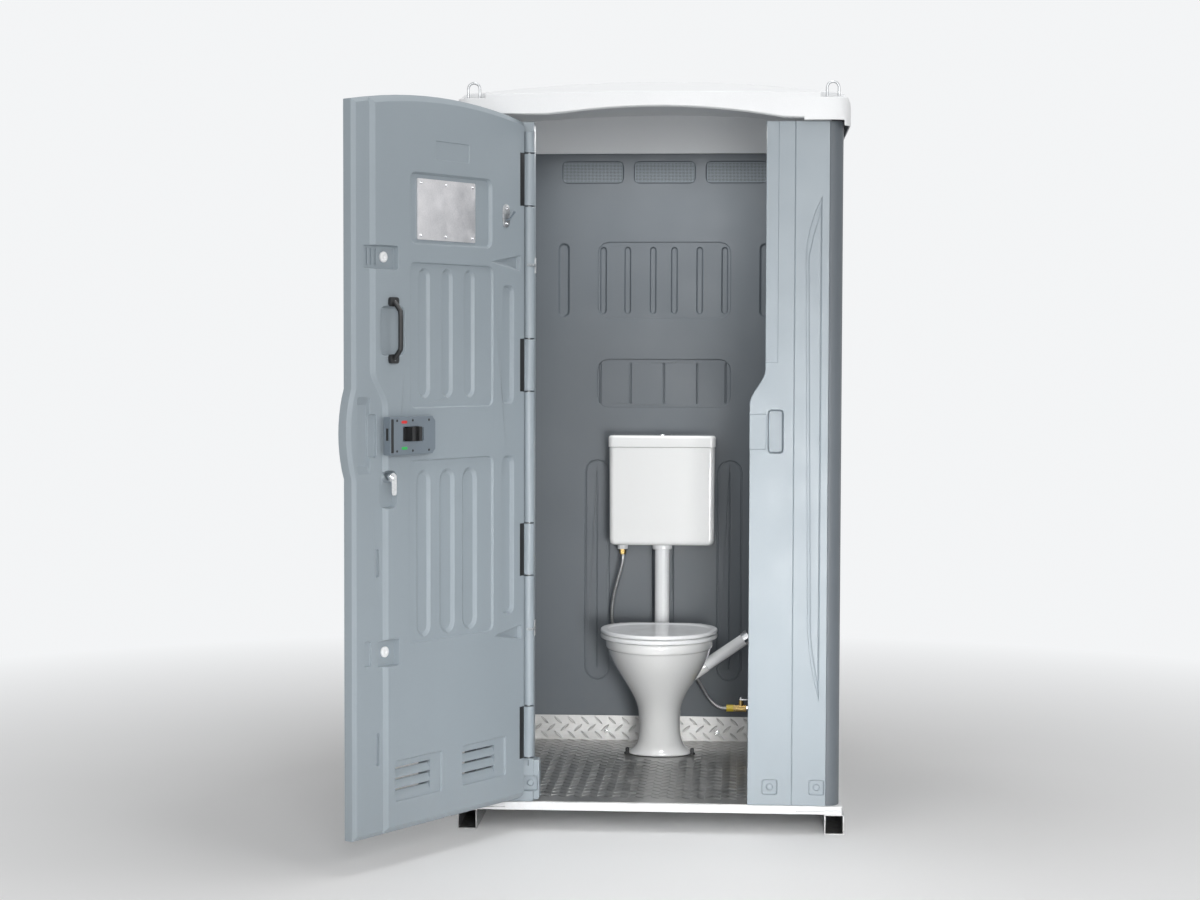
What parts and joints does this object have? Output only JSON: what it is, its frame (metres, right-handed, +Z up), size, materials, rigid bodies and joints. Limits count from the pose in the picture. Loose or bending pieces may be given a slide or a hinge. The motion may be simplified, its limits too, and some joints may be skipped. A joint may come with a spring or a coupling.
{
  "type": "portable toilet",
  "caption": "Portable toilet cabin on two skids: a moulded cubicle with a hinged door, a domed roof, and a flushing pan with seat, lid and wall cistern inside.",
  "frame": {"origin": "on the ground, under the middle of the whole toilet with its door open as stored", "axes": "+Z up, the front with the door faces -Y, +X to the right for someone who faces the front"},
  "size_m": [1.4204, 1.7904, 2.3111],
  "materials": {
    "front_moulding": "moulded polyethylene, satin",
    "wall_moulding": "moulded polyethylene, dull",
    "white_moulding": "moulded polyethylene, satin",
    "galvanised": "galvanised steel",
    "tread_plate": "diamond tread sheet",
    "hose_braid": "braided steel over a rubber hose",
    "bright": "polished",
    "black_plastic": "dull",
    "glazed": "white glaze",
    "brass": "plain brass",
    "yellow": "moulded",
    "rubber": "dull",
    "mirror_sheet": "polished sheet"
  },
  "bodies": {
    "cabin": {"post_left": "front_moulding", "post_right": "front_moulding", "wall_back": "wall_moulding", "wall_left": "wall_moulding", "wall_right": "wall_moulding", "vent_mesh_left": "wall_moulding", "vent_mesh_middle": "wall_moulding", "vent_mesh_right": "wall_moulding", "base_frame": "white_moulding", "roof": "white_moulding", "flush_valve_tower": "white_moulding", "fill_valve": "white_moulding", "inlet_back_nut": "white_moulding", "flush_pipe": "white_moulding", "flush_pipe_nut": "white_moulding", "waste_pipe": "white_moulding", "waste_coupling": "white_moulding", "skid_left": "galvanised", "skid_right": "galvanised", "hinge_rod": "galvanised", "check_chain_lower": "galvanised", "check_chain_upper": "galvanised", "lifting_eye_front_left": "galvanised", "lifting_eye_front_right": "galvanised", "lifting_eye_back_left": "galvanised", "lifting_eye_back_right": "galvanised", "floor_plate": "tread_plate", "kick_plate_back": "tread_plate", "kick_plate_left": "tread_plate", "kick_plate_right": "tread_plate", "inlet_hose": "hose_braid", "seat_hinge": "bright", "supply_pipe": "bright", "waste_tube": "bright", "pan_fixing_left": "black_plastic", "pan_fixing_right": "black_plastic", "toilet_pan": "glazed", "cistern_body": "glazed", "cistern_lid": "glazed", "stop_valve": "brass", "hose_nut_upper": "brass", "hose_ring_nut": "yellow", "soil_connector": "rubber", "flush_cone": "rubber"},
    "door": {"door_shell": "front_moulding", "mirror": "mirror_sheet", "coat_hook": "galvanised", "grab_handle": "black_plastic", "lock_case": "black_plastic", "outer_lock_case": "black_plastic", "cam_bush": "bright"},
    "lock": {"lock_bolt": "black_plastic", "lock_indicator": "yellow"},
    "cam": {"cam_latch": "bright"},
    "seat_ring": {"seat": "white_moulding"},
    "seat_lid": {"lid": "white_moulding"},
    "button": {"flush_button": "bright"},
    "valve": {"flush_valve_sleeve": "rubber"},
    "float": {"fill_float": "white_moulding"},
    "lever": {"stop_valve_lever": "bright"}
  },
  "joints": [
    {"name": "door_hinge", "type": "hinge", "parent": "cabin", "child": "door", "pos_m": [-0.24982, -0.22877, 1.0868], "axis": [0, 0, 1], "range_deg": [0, 121.9]},
    {"name": "lock_slide", "type": "slide", "parent": "door", "child": "lock", "axis": [-0.5287, -0.8488, 0], "range_m": [0, 0.022]},
    {"name": "cam_turn", "type": "hinge", "parent": "door", "child": "cam", "pos_m": [-0.58557, -0.76774, 1.09642], "axis": [-0.8488, 0.5287, 0], "range_deg": [0, 90]},
    {"name": "seat_hinge_turn", "type": "hinge", "parent": "cabin", "child": "seat_ring", "pos_m": [0.12018, 0.62423, 0.5124], "axis": [1, 0, 0], "range_deg": [-93, 0]},
    {"name": "lid_hinge_turn", "type": "hinge", "parent": "seat_ring", "child": "seat_lid", "pos_m": [0.12018, 0.62423, 0.5124], "axis": [-1, 0, 0], "range_deg": [0, 93]},
    {"name": "flush_button_press", "type": "slide", "parent": "cabin", "child": "button", "axis": [0, 0, -1], "range_m": [0, 0.01], "stiffness_N_per_m": 400, "springref_m": -0.008},
    {"name": "flush_valve_lift", "type": "slide", "parent": "cabin", "child": "valve", "axis": [0, 0, 1], "range_m": [0, 0.025]},
    {"name": "float_rise", "type": "slide", "parent": "cabin", "child": "float", "axis": [0, 0, 1], "range_m": [0, 0.06]},
    {"name": "stop_valve_turn", "type": "hinge", "parent": "cabin", "child": "lever", "pos_m": [0.39518, 0.71623, 0.2228], "axis": [0, 0, 1], "range_deg": [0, 90]}
  ],
  "couplings": [
    {"joint": "flush_valve_lift", "follows": "flush_button_press", "ratio": 2.5}
  ]
}
